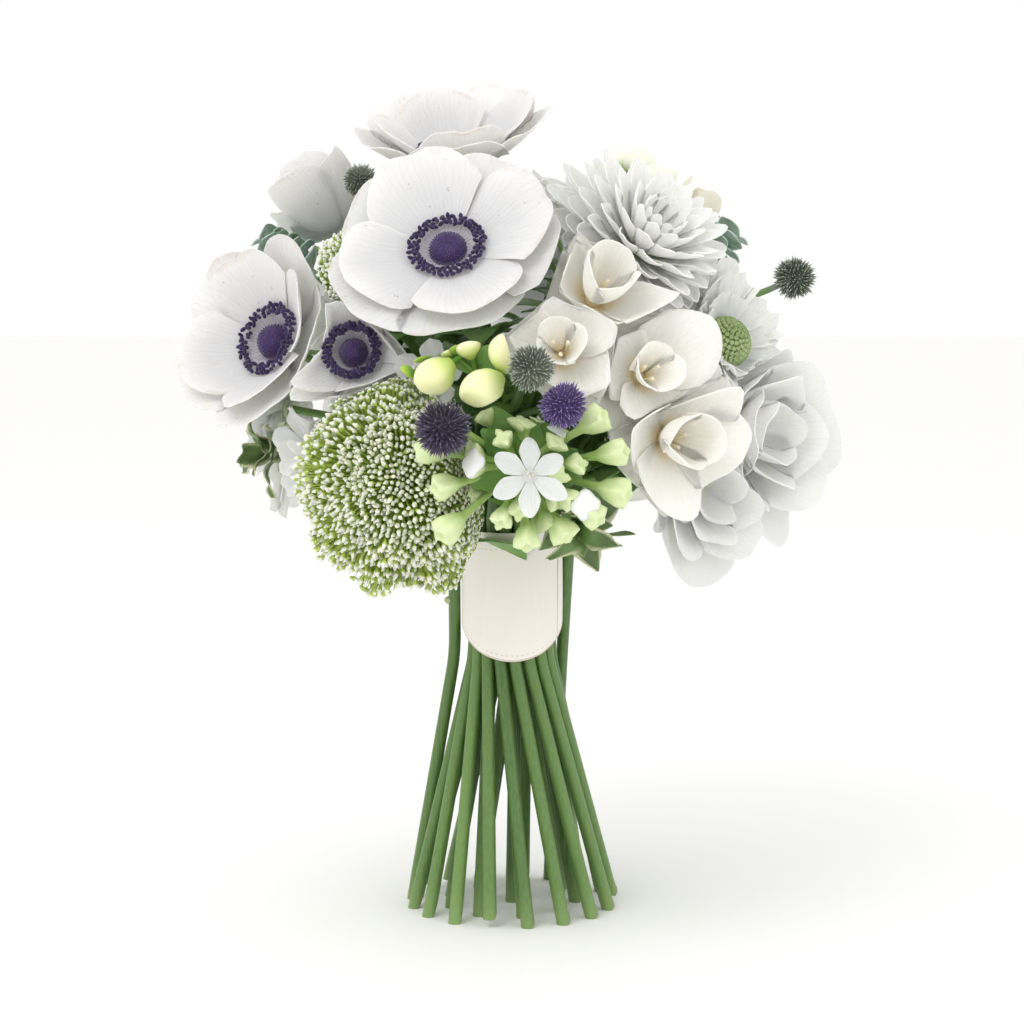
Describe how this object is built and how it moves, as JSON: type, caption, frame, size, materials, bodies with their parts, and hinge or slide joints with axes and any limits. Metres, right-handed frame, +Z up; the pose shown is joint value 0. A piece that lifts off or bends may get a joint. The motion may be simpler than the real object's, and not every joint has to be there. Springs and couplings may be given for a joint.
{
  "type": "hand-tied flower bouquet",
  "caption": "Round hand-tied bouquet of white and ivory flowers, leaves and sprays, bound by a cloth wrap, standing upright on its fan of cut stems.",
  "frame": {"origin": "centre of the flat cut end of the middle stem, on the surface that the bouquet stands on", "axes": "+Z up along the bundle of stems, -Y towards the front, where the large open anemone is, +X to the right as seen from the front"},
  "size_m": [0.2379, 0.2334, 0.3069],
  "materials": {
    "stem": "matt waxy green",
    "anemone_petals": "soft matt white",
    "anemone_centre": "velvety near-black violet",
    "dahlia": "soft matt white, green in its depths",
    "lisianthus": "soft matt white",
    "freesia": "satin ivory",
    "scabiosa_petals": "soft matt ivory",
    "scabiosa_centre": "matt green",
    "star": "waxy white",
    "purple": "matt purple",
    "rosebud": "satin cream",
    "trachelium": "matt green, tipped with white",
    "bouvardia": "satin light green",
    "thistle": "matt grey-green",
    "eucalyptus": "powdery blue-green",
    "foliage": "satin green with cream edges",
    "buds": "satin yellow-green",
    "wrap": "smooth ivory cloth",
    "tie": "matt brown twine"
  },
  "bodies": {
    "root": {"anemone_a_centre": "anemone_centre", "anemone_a_petals": "anemone_petals", "anemone_a_stem": "stem", "anemone_b_centre": "anemone_centre", "anemone_b_petals": "anemone_petals", "anemone_b_stem": "stem", "anemone_c_centre": "anemone_centre", "anemone_c_petals": "anemone_petals", "anemone_c_stem": "stem", "anemone_d_centre": "anemone_centre", "anemone_d_petals": "anemone_petals", "anemone_d_stem": "stem", "anemone_e_centre": "anemone_centre", "anemone_e_petals": "anemone_petals", "anemone_e_stem": "stem", "anemone_f_centre": "anemone_centre", "anemone_f_petals": "anemone_petals", "anemone_f_stem": "stem", "bouvardia_star": "star", "bouvardia_stem": "bouvardia", "bud_spray_stem": "buds", "buds_c_bloom": "rosebud", "dahlia_a_bloom": "dahlia", "dahlia_a_stem": "stem", "dahlia_b_bloom": "dahlia", "dahlia_b_stem": "stem", "eucalyptus_a_stem": "eucalyptus", "eucalyptus_b_stem": "eucalyptus", "foliage_a_stem": "foliage", "foliage_b_stem": "foliage", "foliage_c_stem": "foliage", "freesia_a1_bloom": "freesia", "freesia_a2_bloom": "freesia", "freesia_a_stem": "stem", "freesia_b1_bloom": "freesia", "freesia_b2_bloom": "freesia", "freesia_b_stem": "stem", "freesia_c_bloom": "freesia", "freesia_c_stem": "stem", "lisianthus_a_bloom": "lisianthus", "lisianthus_a_stem": "stem", "lisianthus_b_bloom": "lisianthus", "lisianthus_b_stem": "stem", "lisianthus_c_bloom": "lisianthus", "lisianthus_c_stem": "stem", "scabiosa_a_centre": "scabiosa_centre", "scabiosa_a_petals": "scabiosa_petals", "scabiosa_a_stem": "stem", "scabiosa_b_centre": "scabiosa_centre", "scabiosa_b_petals": "scabiosa_petals", "scabiosa_b_stem": "stem", "thistle_a_stem": "thistle", "thistle_b_head": "purple", "tie": "tie", "trachelium_a_stem": "trachelium", "trachelium_b_stem": "trachelium", "trachelium_c_stem": "trachelium", "wrap": "wrap"}
  },
  "joints": []
}
